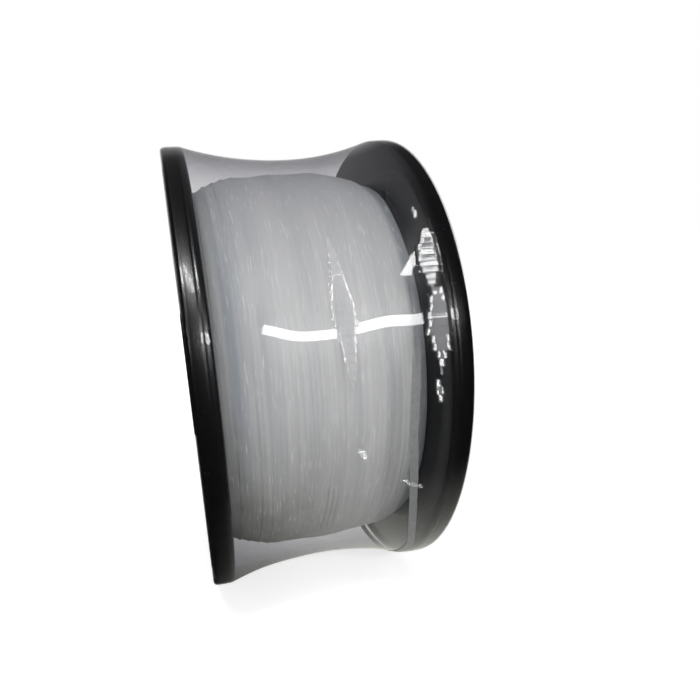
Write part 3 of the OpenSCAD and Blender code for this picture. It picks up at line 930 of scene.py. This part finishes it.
# %% Clear film: haze, a tint on its edges, painted shade low on the left, and a sharp and a soft gloss on its outer side
WHITE = (1, 1, 1, 1)
film_material, tree, out = new_material("film_clear")
place = object_place(tree)
along, _, height = split(tree, place)
uneven = cloud(tree, place, 55.0, 3.0)
gathered = add_node(tree, "ShaderNodeAttribute", attribute_name="gathered").outputs["Fac"]
edge = maths(tree, "POWER", add_node(tree, "ShaderNodeLayerWeight", {"Blend": 0.5}).outputs["Facing"], 2.2)
bears = remap(tree, maths(tree, "ABSOLUTE", along), 0.0325, 0.035, 1.0, 0.1)
haze = times(tree, plus(tree, times(tree, edge, 0.16), 0.008), bears)
haze = plus(tree, haze, times(tree, gathered, 0.16))
haze = times(tree, haze, remap(tree, uneven, 0.3, 0.7, 0.85, 1.15), clamp=True)
tint = mix_colour(tree, edge, (0.97, 0.97, 0.972, 1), (0.79, 0.79, 0.815, 1))
# Painted shade: the film's tint is darker low down on the left.
low_left_shade = remap(tree, height, -0.035, -0.06, 0.0, 1.0)
low_left_shade = times(tree, low_left_shade, remap(tree, along, -0.035, 0.0, 1.0, 0.0))
tint = mix_colour(tree, low_left_shade, tint, (0.66, 0.66, 0.67, 1))
clear = add_node(tree, "ShaderNodeBsdfTransparent", {"Color": tint}).outputs[0]
frosted = mix_colour(tree, gathered, (0.4, 0.4, 0.43, 1), (0.8, 0.8, 0.82, 1))
milky = add_node(tree, "ShaderNodeBsdfDiffuse", {"Color": frosted}).outputs[0]
outside = maths(tree, "SUBTRACT", 1.0, add_node(tree, "ShaderNodeNewGeometry").outputs["Backfacing"])
mirror = times(tree, add_node(tree, "ShaderNodeFresnel", {"IOR": 1.5}).outputs[0], outside)
rough = plus(tree, remap(tree, uneven, 0.3, 0.7, 0.02, 0.05), times(tree, gathered, 0.055))
rough = plus(tree, rough, times(tree, maths(tree, "SUBTRACT", 1.0, bears), 0.04))
sharp = add_node(tree, "ShaderNodeBsdfGlossy", {"Color": WHITE, "Roughness": rough}).outputs[0]
drawn = vector_maths(tree, "CROSS_PRODUCT", (1.0, 0.0, 0.0), place)
soft_gloss = {"Color": WHITE, "Roughness": 0.2, "Anisotropy": -0.6, "Tangent": drawn}
soft = add_node(tree, "ShaderNodeBsdfAnisotropic", soft_gloss).outputs[0]
gloss = blend(tree, remap(tree, bears, 0.1, 1.0, 0.75, 0.28), sharp, soft)
tree.links.new(blend(tree, mirror, blend(tree, haze, clear, milky), gloss), out.inputs[0])

# %% The film's line from lip to lip, on its outer side
WAIST_R, LIP_R, FILM_GAP, FILM_T = 74.7, 70.0, 0.1, 0.3
SADDLE_POWER, LIP_ROWS = 2.1, 8
# Where each stretch starts and its greatest step: in mm across the film, and in degrees round it.
ACROSS = ((0.4, 0.25), (8.5, 1.7), (20.0, 0.5), (25.0, 0.26))
AROUND = ((0.0, 2.5), (134.0, 0.32), (180.08, 1.2), (188.0, 0.25), (192.5, 1.5), (197.0, 0.25), (200.5, 2.5))
FILM_OUT = FILM_GAP + FILM_T
HALF_WIDTH = HALF_TRAVERSE + RIM_W
bearing = [bead(turn, FILM_OUT) for turn in BEAD_TURNS]
SADDLE_HALF = HALF_TRAVERSE + bearing[-1][0]
SADDLE_FOOT = WAIST_R + FILM_OUT
SADDLE_RISE = bearing[-1][1] - SADDLE_FOOT


def saddle(x):
    """Radius of the film's outer side between the two beads."""
    return SADDLE_FOOT + SADDLE_RISE * (abs(x) / SADDLE_HALF) ** SADDLE_POWER


def spaced(stops):
    """Places from stop to stop, each stretch with its own greatest step."""
    places = [stops[0][0]]
    for (start, step), (end, _) in zip(stops, stops[1:]):
        count = max(1, math.ceil((end - start) / step - 1e-9))
        places += [start + (end - start) * (k + 1) / count for k in range(count)]
    return places


lip_rise = RIM_R - BEAD_H - LIP_R
left_part = [(-HALF_WIDTH - FILM_OUT, LIP_R + lip_rise * k / LIP_ROWS) for k in range(LIP_ROWS)]
left_part += [(-HALF_TRAVERSE - depth, r) for depth, r in bearing]
waist_places = spaced(((-SADDLE_HALF, 1.65),) + ACROSS + ((SADDLE_HALF, 1),))[1:-1]
film_line = left_part + [(x, saddle(x)) for x in waist_places] + [(-x, r) for x, r in reversed(left_part)]
columns = spaced(AROUND + ((360.0, 1),))[:-1]
print(len(film_line), "rows and", len(columns), "columns in the film")

# %% Where the film crinkles
# A crinkle has a spine from one place along the axis to another, and a span of angles. Its folds are small
# flat steps of so many degrees, narrower at both ends, with ragged sides. Each is tipped by a share of what
# would throw the long lamp's light back at the camera: its middle by the share lit, give or take a spread,
# and its bright edges, of a width and a greatest share of the fold, by all of it. Away tips the ends further
# off the lamp.
GLARE_ANGLE, TIP_PER_DEGREE = 161.4, 1.28
Crinkle = namedtuple("Crinkle", "seed spine span half_wide step lit spread ends ragged edges away")
CRINKLES = [
    Crinkle(1, (3.8, 5.0), (140.4, 174.96), 3.2, 1.92, 0.1, 0.2, (1.0, 0.7), 0.5, (0.9, 0.34), 0.2),
    Crinkle(2, (31.0, 29.5), (142.32, 156.4), 3.1, 1.28, 1.02, 0.2, (0.5, 0.9), 0.8, (1.2, 1.0), 0.03),
    Crinkle(3, (30.6, 29.5), (155.6, 173.2), 4.0, 1.6, 0.8, 0.5, (0.5, 1.4), 0.8, (1.25, 1.0), 0.15),
    Crinkle(4, (28.6, 29.2), (174.32, 179.12), 0.9, 1.6, 0.8, 0.4, (0.7, 0.7), 1.0, (0.85, 1.0), 0.0),
    Crinkle(6, (29.6, 30.0), (136.24, 139.44), 0.5, 1.6, 0.8, 0.4, (0.7, 0.7), 1.0, (0.85, 1.0), 0.0),
    Crinkle(7, (6.0, 9.4), (188.5, 192.25), 1.6, 0.75, 0.948, 0.05, (0.7, 0.7), 1.0, (0.0, 0.0), 0.0),
    Crinkle(8, (20.2, 26.0), (197.5, 200.25), 1.8, 0.55, 0.949, 0.05, (0.7, 0.7), 1.0, (0.0, 0.0), 0.0),
]
# Each use of a fold's random number has its own shift of the seed.
FOR_SPINE, FOR_SHARE, FOR_TILT, FOR_EDGE = 40, 60, 80, 90
LEAST_WIDE, FLARE, WANDER, RAGGED_SHARE = 0.35, 0.15, 0.6, 0.4
EDGE_SPREAD, TILT_SPREAD, LEVELLED, FOLD_LIFT, FOLD_FADE = 0.12, 0.2, 0.75, 0.05, 0.27


def stray(k, seed):
    """A fixed random number from -0.5 to 0.5 for one fold."""
    return 0.5 * noise.cell(Vector((k * 1.37 + 0.5, seed * 3.1 + 0.5, 0.5)))


def fold(c, x, angle):
    """Height of one crinkle at a place and its mask, which is 1 well inside it, or nothing off it."""
    first, last = c.span
    t = (2 * angle - first - last) / (last - first)
    if abs(t) >= 1:
        return None
    k = math.floor((angle - first) / c.step + 1e-6)
    middle = first + (k + 0.5) * c.step
    part = (angle - middle) / c.step
    tm = (2 * middle - first - last) / (last - first)
    narrowed = max(0.0, 1 - abs(tm)) ** c.ends[tm > 0]
    wide = c.half_wide * narrowed * (1 + RAGGED_SHARE * c.ragged * stray(k, c.seed)) + LEAST_WIDE
    wide *= 1 + FLARE * part
    top, bottom = c.spine
    spine = top + (bottom - top) * (tm + 1) / 2 + WANDER * c.ragged * stray(k, c.seed + FOR_SPINE)
    off = abs(x - spine) / wide
    if off >= 1:
        return None
    if c.edges[0] and off > 1 - min(c.edges[0] / wide, c.edges[1]):
        share = 1.0 + EDGE_SPREAD * stray(k, c.seed + FOR_EDGE)
        astray = 0.0
    else:
        share = c.lit + c.spread * stray(k, c.seed + FOR_SHARE)
        astray = math.copysign(c.away * (tm + 1) / 2, GLARE_ANGLE - middle)
        astray += TILT_SPREAD * c.spread * stray(k, c.seed + FOR_TILT)
    tilt = math.tan(math.radians(TIP_PER_DEGREE * (middle - GLARE_ANGLE) * share)) + astray
    run = part * c.step * math.radians(1) * saddle(spine)
    level = LEVELLED * (saddle(spine + 0.5) - saddle(spine - 0.5)) * (x - spine)
    window = min(1.0, (1 - off) * wide / FOLD_FADE)
    return window * (tilt * run - level + FOLD_LIFT), window


def crinkle(x, angle):
    """Height of the gathered folds and a mask of where they are."""
    folds = [found for found in (fold(c, x, angle) for c in CRINKLES) if found]
    return sum(height for height, _ in folds), max([mask for _, mask in folds], default=0.0)


print(len(CRINKLES), "crinkles")

# %% How the film waves and puckers
# The film's slope along the axis where the long lamp's glare crosses it bends the glare a little.
BEND_X = (-40, -24, -18.9, -13, -8.5, 2, 7.8, 15.8, 25, 31, 40)
BEND = (0, -0.05, -0.044, 0.0, 0.024, 0.03, 0.016, -0.005, 0.012, 0, 0)
GLARE_R, GLARE_HALF, CALM_ANGLE, CALM_HALF, CALM_X = 75, 9, 156, 16, 31
WAVE_H, WAVES_ACROSS, WAVES_ROUND = 0.35, 0.05, 2.4
SHOULDER_H, SHOULDER_X, SHOULDER_HALF = 0.3, 17, 8
SHOULDER_FROM, SHOULDER_IN, SHOULDER_TO, SHOULDER_OUT = 152, 6, 176, 10
LIP_PLEATS, LIP_DIP, LIP_WANDER = 46, 1.6, 1.2


def slack(x, angle):
    """Broad soft waves in the tight film, dying out at the rims."""
    a = math.radians(angle)
    calm = max(0.0, 1 - (abs(x) / CALM_X) ** 4)
    wave_at = Vector((x * WAVES_ACROSS, WAVES_ROUND * math.cos(a), WAVES_ROUND * math.sin(a)))
    wave = noise.noise(wave_at) * WAVE_H
    near = math.exp(-(((angle - GLARE_ANGLE) / GLARE_HALF) ** 2))
    quiet = math.exp(-(((angle - CALM_ANGLE) / CALM_HALF) ** 4))
    bend = np.interp(x, BEND_X, BEND) * near * math.radians(angle - GLARE_ANGLE) * GLARE_R
    below = within((angle - SHOULDER_FROM) / SHOULDER_IN) * within((SHOULDER_TO - angle) / SHOULDER_OUT)
    shoulder = SHOULDER_H * math.exp(-(((x - SHOULDER_X) / SHOULDER_HALF) ** 2))
    return shoulder * below * below * (3 - 2 * below) + calm * (wave * (1 - quiet) + bend)


def pleat(angle, depth, side):
    """How far the lip dips in towards the web: folds that grow towards the free edge."""
    a = math.radians(angle)
    beat = noise.noise(Vector((3 * math.cos(a), 3 * math.sin(a), side)))
    crease = 0.5 + 0.5 * math.sin(LIP_PLEATS * a + 5 * beat)
    return LIP_DIP * depth ** 1.5 * (0.5 + 0.9 * crease * (0.6 + 0.8 * abs(beat)))


def lip_wander(angle, depth, side):
    """How far the lip's free edge wanders in or out."""
    a = math.radians(angle)
    return LIP_WANDER * depth * noise.noise(Vector((math.cos(a) * 6, math.sin(a) * 6, side)))


print("greatest wave at the waist:", round(max(abs(slack(0, angle)) for angle in columns), 2), "mm")


# %% Sheets that are wrapped round the spool
def face_outwards(obj, face):
    """Turns a wrapped sheet inside out where a face of it looks at the axis."""
    if face.normal.dot(Vector((0, face.center.y, face.center.z))) < 0:
        obj.data.flip_normals()


# %% Wrapping the film
RIM_FADE, UPPER_SIDE = 0.8, Vector((0, 0, 0.075))
rows, cols = len(film_line), len(columns)
film = new_grid("film_sleeve", cols, rows - 1)
gathered_here = np.zeros(len(film.data.vertices), np.float32)
for vertex in film.data.vertices:
    x, r = film_line[round((vertex.co.y + 0.5) * (rows - 1))]
    angle = columns[round((vertex.co.x + 0.5) * cols) % cols]
    if abs(x) < SADDLE_HALF:
        fade = min(1.0, (SADDLE_HALF - abs(x)) / RIM_FADE)
        height, mask = crinkle(x, angle)
        r = min(r + fade * height + slack(x, angle), RIM_R + FILM_OUT)
        gathered_here[vertex.index] = fade * mask
    if abs(x) > HALF_WIDTH and r < RIM_INNER_R:
        depth = (RIM_INNER_R - r) / (RIM_INNER_R - LIP_R)
        side = math.copysign(1.0, x)
        x -= side * pleat(angle, depth, side)
        r += lip_wander(angle, depth, side)
    vertex.co = at(x, r, angle)
film.data.attributes.new("gathered", "FLOAT", "POINT").data.foreach_set("value", gathered_here)
even_normals(film, 0.001)
face_outwards(film, min(film.data.polygons, key=lambda face: sum(abs(v) for v in face.center - UPPER_SIDE)))
apply_modifier(film, "SOLIDIFY", thickness=FILM_T * MM, offset=-1)
smooth(film, 60)

# %% The crinkles' steps are shaded flat
FLAT_FROM = 0.3
folded = np.zeros(len(film.data.vertices), np.float32)
film.data.attributes["gathered"].data.foreach_get("value", folded)
select_where(film, "polygons", lambda middle, face: min(folded[v] for v in face.vertices) > FLAT_FROM)
bpy.ops.mesh.faces_shade_flat()
bpy.ops.object.mode_set(mode="OBJECT")
finish_piece(film, "shrink_film", film_material)

# %% [markdown]
# ## Seam
# The sleeve is made of flat film welded to a tube. The weld is a narrow frosted strip with a knurled face.

# %% Frosted weld, fainter towards the top
seam_material, tree, out = new_material("film_weld")
place = object_place(tree)
facing = add_node(tree, "ShaderNodeLayerWeight", {"Blend": 0.5}).outputs["Facing"]
knurl = cloud(tree, place, 900.0, 2.0)
cover = plus(tree, times(tree, facing, 0.1), 0.68)
cover = times(tree, cover, remap(tree, knurl, 0.3, 0.7, 0.9, 1.1), clamp=True)
cover = times(tree, cover, remap(tree, split(tree, place)[2], 0.019, 0.009, 0.1, 1.0))
clear = add_node(tree, "ShaderNodeBsdfTransparent", {"Color": (0.97, 0.97, 0.97, 1)}).outputs[0]
knurled = bump(tree, knurl, 0.3, 0.04)
frost = {"Base Color": (0.33, 0.34, 0.345, 1), "Roughness": 0.24, "Normal": knurled, "IOR": 1.5}
tree.links.new(blend(tree, cover, clear, principled(tree, frost)), out.inputs[0])

# %% The weld strip
SEAM_X, SEAM_W, SEAM_T, SEAM_LIFT, SEAM_KNURL, SEAM_FRAY = 22.5, 2.4, 0.12, 0.08, 0.012, 0.12
SEAM_ROWS, SEAM_STOPS = 8, ((165.0, 0.9), (197.0, 0.25), (201.0, 0.9), (365.0, 1))
# The weld wanders along the axis as it goes round, as an angle and how far it strays in mm.
SEAM_WANDER = (
    (165, 0.9), (180, -0.5), (185, -0.6), (189.7, -0.3), (193.7, 0.2), (198, 0.7),
    (202.6, 1.4), (206, 2.05), (210, 2.9), (214.5, 4.0), (220, 5.6), (225, 7.0),
    (231, 7.6), (245, 8.2), (280, 8.2), (330, 7.6), (365, 7.0),
)
seam_angles = spaced(SEAM_STOPS)
seam_cols = len(seam_angles) - 1
wander_angles, wander = zip(*SEAM_WANDER)
seam = new_grid("film_weld_strip", seam_cols, SEAM_ROWS)
for vertex in seam.data.vertices:
    angle, across = seam_angles[round((vertex.co.x + 0.5) * seam_cols)], vertex.co.y
    frayed = 1 + SEAM_FRAY * noise.noise(Vector((angle * 0.5, across, 3)))
    x = SEAM_X + np.interp(angle, wander_angles, wander) + across * SEAM_W * frayed
    ridge = SEAM_KNURL * math.sin(math.radians(angle) * 200) * (1 - (2 * across) ** 2)
    r = saddle(x) + slack(x, angle) + SEAM_LIFT + ridge + crinkle(x, angle)[0]
    vertex.co = at(x, r, angle)
even_normals(seam)
face_outwards(seam, seam.data.polygons[0])
apply_modifier(seam, "SOLIDIFY", thickness=SEAM_T * MM, offset=1)
smooth(seam, 12)
finish_piece(seam, "film_seam", seam_material)

# %% [markdown]
# ## Studio
# A pale floor and a white surround. The floor's shader gives back light as paper would, and the camera also
# sees it lightened to white, so a soft shadow stays under the spool. Black gloss and clear film would turn
# grey in an all-white room, so floor and surround are dimmer in what they mirror. One long narrow lamp leaves
# the line of glare on the film, smaller ones leave the rims' highlights, and broad soft lamps light the rest.

# %% Floor: white to the camera, dimmer where it is mirrored
FLOOR_Z, FLOOR_SIZE = -80.4, 8
bpy.ops.object.select_all(action="DESELECT")
bpy.ops.mesh.primitive_plane_add(size=FLOOR_SIZE, location=(0, 0, FLOOR_Z * MM))
floor = bpy.context.object
floor.name = "floor"
floor_material, tree, out = new_material("floor_paper")
rays = add_node(tree, "ShaderNodeLightPath").outputs
place = object_place(tree)
distance = add_node(tree, "ShaderNodeVectorMath", {0: place}, operation="LENGTH").outputs["Value"]
floor_x, floor_y, _ = split(tree, place)
seen = plus(tree, rays["Is Camera Ray"], rays["Is Transmission Ray"], clamp=True)
glow = times(tree, seen, plus(tree, 0.72, times(tree, remap(tree, distance, 0.12, 0.4, 0.0, 1.0), 0.28)))
paper = add_node(tree, "ShaderNodeBsdfDiffuse", {"Color": (0.7, 0.7, 0.7, 1)})
light = add_node(tree, "ShaderNodeEmission", {"Color": WHITE, "Strength": glow})
lit = add_node(tree, "ShaderNodeAddShader", {0: paper.outputs[0], 1: light.outputs[0]}).outputs[0]
# The floor glows warm to the right of and behind the spool, but only where it is mirrored; it lays a painted
# olive reflection low on the film and the right flange.
right_of = remap(tree, floor_x, -0.04, 0.03, 0.0, 1.0)
behind = remap(tree, floor_y, -0.125, -0.055, 0.0, 1.0)
mirrored = times(tree, times(tree, right_of, behind), remap(tree, distance, 0.15, 0.5, 0.75, 0.05))
mirrored = {"Color": (0.95, 0.95, 0.86, 1), "Strength": plus(tree, mirrored, 0.02)}
dim = add_node(tree, "ShaderNodeEmission", mirrored).outputs[0]
tree.links.new(blend(tree, rays["Is Glossy Ray"], lit, dim), out.inputs[0])
floor.data.materials.append(floor_material)
print("floor at", FLOOR_Z, "mm")

# %% World: white to the camera, a dim room where it is mirrored and a brighter wall behind
ROOM_LIGHT, ROOM_MIRRORED, WALL_MIRRORED = 0.21, 0.025, 0.5
world = bpy.data.worlds.new("studio")
world.use_nodes = True
scene.world = world
tree = world.node_tree
tree.nodes.clear()
rays = add_node(tree, "ShaderNodeLightPath").outputs
seen = plus(tree, rays["Is Camera Ray"], rays["Is Transmission Ray"], clamp=True)
backwards = split(tree, add_node(tree, "ShaderNodeTexCoord").outputs["Generated"])[1]
backdrop = remap(tree, backwards, 0.76, 0.98, ROOM_MIRRORED, WALL_MIRRORED)
reflected = times(tree, rays["Is Glossy Ray"], maths(tree, "SUBTRACT", backdrop, ROOM_LIGHT))
strength = maths(tree, "MAXIMUM", plus(tree, ROOM_LIGHT, reflected), seen)
back = add_node(tree, "ShaderNodeBackground", {"Color": WHITE, "Strength": strength})
tree.links.new(back.outputs[0], tree.nodes.new("ShaderNodeOutputWorld").inputs[0])
print("world", world.name)

# %% Lamps
def area_lamp(name, location, target, size, size_y, radiance, glossy=True, roll=0.0):
    """A rectangular lamp that faces a point; its power follows from the brightness of its face."""
    bpy.ops.object.light_add(type="AREA", location=location)
    lamp = bpy.context.object
    lamp.name = name
    lamp.data.shape = "RECTANGLE"
    lamp.data.size, lamp.data.size_y = size, size_y
    lamp.data.energy = radiance * math.pi * size * size_y
    facing = (Vector(target) - Vector(location)).to_track_quat("-Z", "Y")
    lamp.rotation_euler = (facing @ Quaternion((0, 0, 1), math.radians(roll))).to_euler()
    lamp.visible_glossy = glossy
    print(name, round(lamp.data.energy, 2), "W")


area_lamp("tube_lamp", (0.223, -0.837, 0.434), (0.223, 0, 0.02), 0.436, 0.085, 21.0)
area_lamp("high_lamp", (-0.036, -0.76, 1.115), (0.03, -0.064, 0.042), 0.058, 0.345, 25.0, roll=21.0)
area_lamp("left_lamp", (-0.245, -0.63, 0.97), (0, 0, 0.04), 0.22, 0.155, 26.0)
area_lamp("side_lamp", (1.23, 0.11, 0.63), (0, 0, 0), 0.16, 0.5, 5.0)
area_lamp("window_left", (-0.4, -0.87, 0.46), (0, 0, 0), 0.26, 0.2, 2.2)
area_lamp("far_left", (-1.25, 0.3, 0.5), (0, 0, 0), 0.5, 0.5, 1.6)
area_lamp("front_soft", (-0.3, -1.05, 0.8), (0, 0, 0), 1.0, 1.0, 0.18, glossy=False)
area_lamp("back_soft", (0.3, 1.2, 0.8), (0, 0, 0), 1.0, 1.0, 1.2, glossy=False)
scene.view_settings.view_transform = "Standard"
